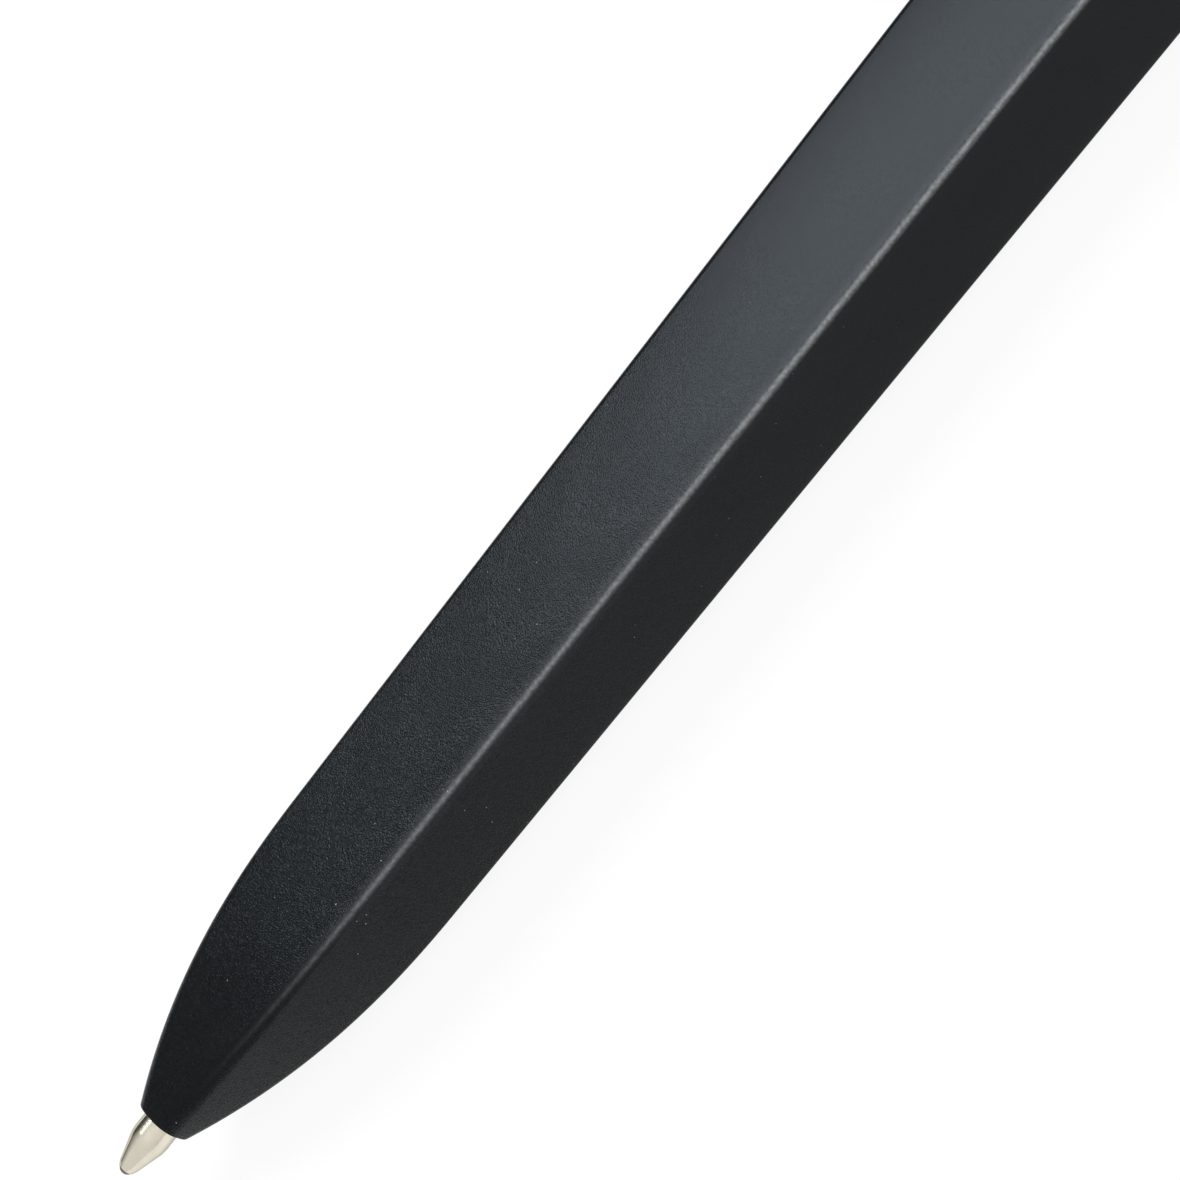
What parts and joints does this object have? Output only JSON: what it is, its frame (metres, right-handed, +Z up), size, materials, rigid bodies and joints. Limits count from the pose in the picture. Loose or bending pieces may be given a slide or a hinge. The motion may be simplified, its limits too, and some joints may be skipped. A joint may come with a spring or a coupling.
{
  "type": "stick ballpoint pen",
  "caption": "Square-section matte black stick ballpoint pen with a tapered one-piece barrel, rounded nose, metal writing tip, ink refill inside and a clip cap posted on the tail.",
  "frame": {"origin": "middle of the pen's length, on its axis seen from above, at the level of its lowest edge", "axes": "+X along the pen from the writing point to the cap's closed end, +Z up with the clip on top"},
  "size_m": [0.1682, 0.011, 0.0132],
  "materials": {
    "barrel": "fine moulded texture, black",
    "tail_plug": "black",
    "tip_holder": "natural, uncoloured",
    "tip_socket": "turned nickel silver",
    "writing_ball": "polished carbide",
    "ink_tube": "natural, translucent",
    "ink_column": "black ink",
    "ink_follower": "clear grease",
    "cap": "fine moulded texture, black"
  },
  "bodies": {
    "pen": {"barrel": "barrel", "tail_plug": "tail_plug", "tip_holder": "tip_holder", "tip_socket": "tip_socket", "ink_tube": "ink_tube", "ink_column": "ink_column", "ink_follower": "ink_follower"},
    "ball": {"writing_ball": "writing_ball"},
    "cap": {"cap": "cap"}
  },
  "joints": [
    {"name": "ball_spin", "type": "hinge", "parent": "pen", "child": "ball", "pos_m": [-0.08357, 0, 0.00547], "axis": [0, 1, 0], "continuous": true},
    {"name": "cap_slide", "type": "slide", "parent": "pen", "child": "cap", "axis": [1, 0, 0], "range_m": [0, 0.02]}
  ]
}
